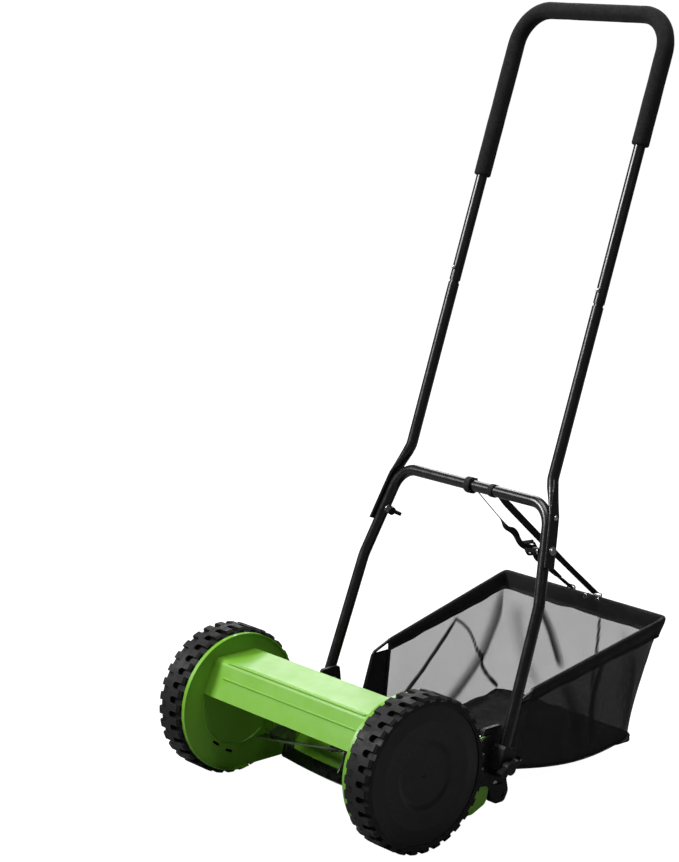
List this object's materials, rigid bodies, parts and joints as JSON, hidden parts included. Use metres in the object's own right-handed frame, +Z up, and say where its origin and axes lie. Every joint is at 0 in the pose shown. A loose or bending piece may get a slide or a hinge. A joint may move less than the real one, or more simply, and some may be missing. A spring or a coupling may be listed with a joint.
{
  "type": "reel mower",
  "caption": "Hand push reel mower: treaded wheels drive a helical cutting reel, with rear rollers, a tall tubular handle with foam grip and a clip-on mesh grass basket.",
  "frame": {"origin": "on the ground straight below the middle of the wheel axle", "axes": "+X along the wheel axle to the mower's right-hand side seen from the front left, +Y to the rear (handle and basket side), +Z up"},
  "size_m": [0.44, 0.6363, 1.066],
  "materials": {
    "green_paint": "gloss lime-green powder coat",
    "black_tube": "satin black powder coat",
    "tread": "matte moulded dark grey",
    "wheel_face": "satin moulded black",
    "black_plastic": "satin moulded black",
    "nylon": "greased nylon",
    "steel": "bright zinc plate",
    "spider_steel": "grey primer on pressed steel",
    "gear_steel": "dark sintered steel",
    "blade_steel": "gloss black lacquer with a bright ground edge",
    "foam": "closed-cell foam sleeve",
    "mesh": "see-through woven mesh",
    "floor_fabric": "coated black fabric",
    "webbing": "black woven tape"
  },
  "bodies": {
    "chassis": {"side_plate_left": "green_paint", "side_plate_right": "green_paint", "front_guard": "green_paint", "bed_plate": "green_paint", "bed_knife": "blade_steel", "rivets": "steel", "adjusting_bolts": "steel", "stub_axle_left": "steel", "stub_axle_right": "steel", "axle_circlips": "steel", "bearing_housing_left": "green_paint", "bearing_housing_right": "green_paint", "reel_bearings": "steel", "clamp_bolts": "steel"},
    "wheel_left": {"tyre_left": "tread", "wheel_disc_left": "wheel_face", "wheel_bush_left": "nylon", "ring_gear_left": "nylon"},
    "wheel_right": {"tyre_right": "tread", "wheel_disc_right": "wheel_face", "wheel_bush_right": "nylon", "ring_gear_right": "nylon"},
    "reel": {"reel_shaft": "black_tube", "reel_blades": "blade_steel", "reel_spiders": "spider_steel", "shaft_spring": "gear_steel", "drive_pawls": "steel"},
    "pinion_left": {"pinion_left": "gear_steel"},
    "pinion_right": {"pinion_right": "gear_steel"},
    "roller_carriage": {"roller_arm_left": "black_plastic", "roller_arm_right": "black_plastic", "height_strip_left": "steel", "height_strip_right": "steel", "roller_axle": "steel"},
    "roller_left": {"roller_left": "black_plastic"},
    "roller_middle": {"roller_middle": "black_plastic"},
    "roller_right": {"roller_right": "black_plastic"},
    "knob_left": {"clamp_knob_left": "black_plastic"},
    "knob_right": {"clamp_knob_right": "black_plastic"},
    "handle": {"lower_handle_tube": "black_tube", "handle_socket_left": "black_plastic", "handle_socket_right": "black_plastic", "middle_tube_left": "black_tube", "middle_tube_right": "black_tube", "tube_studs": "steel", "handle_bolts": "steel", "upper_handle_tube": "black_tube", "foam_grip": "foam", "button_springs": "steel", "basket_straps": "webbing"},
    "wing_nut_left": {"wing_nut_left": "black_plastic"},
    "wing_nut_right": {"wing_nut_right": "black_plastic"},
    "button_left": {"snap_button_left": "steel"},
    "button_right": {"snap_button_right": "steel"},
    "basket": {"basket_wire": "black_tube", "basket_floor": "floor_fabric", "basket_mesh": "mesh", "basket_hem": "webbing", "strap_buckles": "black_plastic"}
  },
  "joints": [
    {"name": "wheel_left_spin", "type": "hinge", "parent": "chassis", "child": "wheel_left", "pos_m": [-0.198, 0, 0.105], "axis": [1, 0, 0], "continuous": true},
    {"name": "wheel_right_spin", "type": "hinge", "parent": "chassis", "child": "wheel_right", "pos_m": [0.198, 0, 0.105], "axis": [1, 0, 0], "continuous": true},
    {"name": "reel_spin", "type": "hinge", "parent": "chassis", "child": "reel", "pos_m": [0, 0.06235, 0.069], "axis": [1, 0, 0], "continuous": true},
    {"name": "pinion_left_spin", "type": "hinge", "parent": "chassis", "child": "pinion_left", "pos_m": [-0.1825, 0.06235, 0.069], "axis": [1, 0, 0], "continuous": true},
    {"name": "pinion_right_spin", "type": "hinge", "parent": "chassis", "child": "pinion_right", "pos_m": [0.1825, 0.06235, 0.069], "axis": [1, 0, 0], "continuous": true},
    {"name": "roller_height", "type": "slide", "parent": "chassis", "child": "roller_carriage", "axis": [0, 0, 1], "range_m": [-0.012, 0.012]},
    {"name": "roller_left_spin", "type": "hinge", "parent": "roller_carriage", "child": "roller_left", "pos_m": [-0.097, 0.1785, 0.0225], "axis": [1, 0, 0], "continuous": true},
    {"name": "roller_middle_spin", "type": "hinge", "parent": "roller_carriage", "child": "roller_middle", "pos_m": [0, 0.1785, 0.0225], "axis": [1, 0, 0], "continuous": true},
    {"name": "roller_right_spin", "type": "hinge", "parent": "roller_carriage", "child": "roller_right", "pos_m": [0.097, 0.1785, 0.0225], "axis": [1, 0, 0], "continuous": true},
    {"name": "knob_left_turn", "type": "hinge", "parent": "chassis", "child": "knob_left", "pos_m": [-0.2, 0.1634, 0.0715], "axis": [1, 0, 0], "continuous": true},
    {"name": "knob_right_turn", "type": "hinge", "parent": "chassis", "child": "knob_right", "pos_m": [0.2, 0.1634, 0.0715], "axis": [1, 0, 0], "continuous": true},
    {"name": "handle_tilt", "type": "hinge", "parent": "chassis", "child": "handle", "pos_m": [0, 0.1634, 0.0715], "axis": [1, 0, 0], "range_deg": [-4, 45]},
    {"name": "wing_nut_left_turn", "type": "hinge", "parent": "handle", "child": "wing_nut_left", "pos_m": [-0.1635, 0.26522, 0.34498], "axis": [-0.977, 0.0743, 0.1998], "continuous": true},
    {"name": "wing_nut_right_turn", "type": "hinge", "parent": "handle", "child": "wing_nut_right", "pos_m": [0.1635, 0.26522, 0.34498], "axis": [0.977, 0.0743, 0.1998], "continuous": true},
    {"name": "button_left_press", "type": "slide", "parent": "handle", "child": "button_left", "axis": [0, 0.9421, -0.3355], "range_m": [0, 0.003], "stiffness_N_per_m": 600, "springref_m": -0.002},
    {"name": "button_right_press", "type": "slide", "parent": "handle", "child": "button_right", "axis": [0, 0.9421, -0.3355], "range_m": [0, 0.003], "stiffness_N_per_m": 600, "springref_m": -0.002},
    {"name": "basket_lift", "type": "hinge", "parent": "handle", "child": "basket", "pos_m": [0, 0.207, 0.052], "axis": [1, 0, 0], "range_deg": [0, 35], "deforming": ["basket_straps"]}
  ],
  "couplings": [
    {"joint": "reel_spin", "follows": "wheel_left_spin", "ratio": 6.1429},
    {"joint": "pinion_left_spin", "follows": "wheel_left_spin", "ratio": 6.1429},
    {"joint": "pinion_right_spin", "follows": "wheel_right_spin", "ratio": 6.1429}
  ]
}
